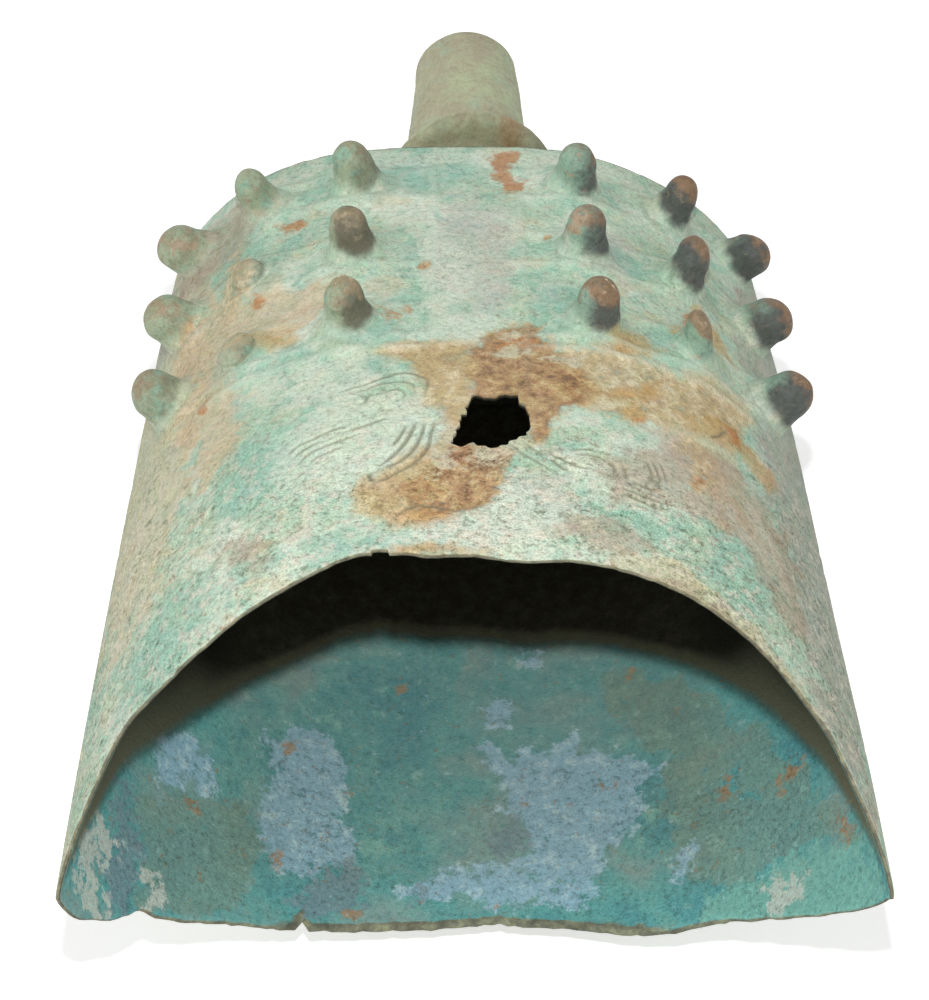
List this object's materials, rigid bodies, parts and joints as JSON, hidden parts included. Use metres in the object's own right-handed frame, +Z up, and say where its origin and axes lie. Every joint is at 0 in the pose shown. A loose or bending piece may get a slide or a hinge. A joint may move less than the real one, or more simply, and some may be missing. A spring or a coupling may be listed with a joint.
{
  "type": "bronze shank bell",
  "caption": "Clapperless shank bell lying on its back: almond-section body with arched rim, flat crown, bosses on both faces, tapered shank with ring and suspension loop.",
  "frame": {"origin": "middle of the bounding box, on the surface that the bell lies on", "axes": "+X across the bell from rib to rib, +Y from the mouth to the shank, +Z up, out of the front face; the bell lies on its rear bosses, so its axis falls 6.8 degrees towards the shank"},
  "size_m": [0.218, 0.3564, 0.1706],
  "materials": {
    "bronze_patina": "mint and grey-green corroded bronze",
    "bronze_olive": "olive, dull corroded bronze",
    "bronze_dark": "dark grey-brown bronze, worn bright at the tips",
    "casting_clay": "dry fired clay"
  },
  "bodies": {
    "root": {"body_wall": "bronze_patina", "crown_plate": "bronze_patina", "shank": "bronze_olive", "shank_core": "casting_clay", "shank_ring": "bronze_olive", "suspension_loop": "bronze_olive", "boss_front_left_r1_inner": "bronze_olive", "boss_front_left_r1_middle": "bronze_olive", "boss_front_left_r1_outer": "bronze_olive", "boss_front_left_r2_inner": "bronze_olive", "boss_front_left_r2_middle": "bronze_olive", "boss_front_left_r2_outer": "bronze_olive", "boss_front_left_r3_inner": "bronze_olive", "boss_front_left_r3_middle": "bronze_olive", "boss_front_left_r3_outer": "bronze_olive", "boss_front_right_r1_inner": "bronze_dark", "boss_front_right_r1_middle": "bronze_dark", "boss_front_right_r1_outer": "bronze_dark", "boss_front_right_r2_inner": "bronze_dark", "boss_front_right_r2_middle": "bronze_dark", "boss_front_right_r2_outer": "bronze_dark", "boss_front_right_r3_inner": "bronze_dark", "boss_front_right_r3_middle": "bronze_dark", "boss_front_right_r3_outer": "bronze_dark", "boss_rear_left_r1_inner": "bronze_olive", "boss_rear_left_r1_middle": "bronze_olive", "boss_rear_left_r1_outer": "bronze_olive", "boss_rear_left_r2_inner": "bronze_olive", "boss_rear_left_r2_middle": "bronze_olive", "boss_rear_left_r2_outer": "bronze_olive", "boss_rear_left_r3_inner": "bronze_olive", "boss_rear_left_r3_middle": "bronze_olive", "boss_rear_left_r3_outer": "bronze_olive", "boss_rear_right_r1_inner": "bronze_olive", "boss_rear_right_r1_middle": "bronze_olive", "boss_rear_right_r1_outer": "bronze_olive", "boss_rear_right_r2_inner": "bronze_olive", "boss_rear_right_r2_middle": "bronze_olive", "boss_rear_right_r2_outer": "bronze_olive", "boss_rear_right_r3_inner": "bronze_olive", "boss_rear_right_r3_middle": "bronze_olive", "boss_rear_right_r3_outer": "bronze_olive"}
  },
  "joints": []
}
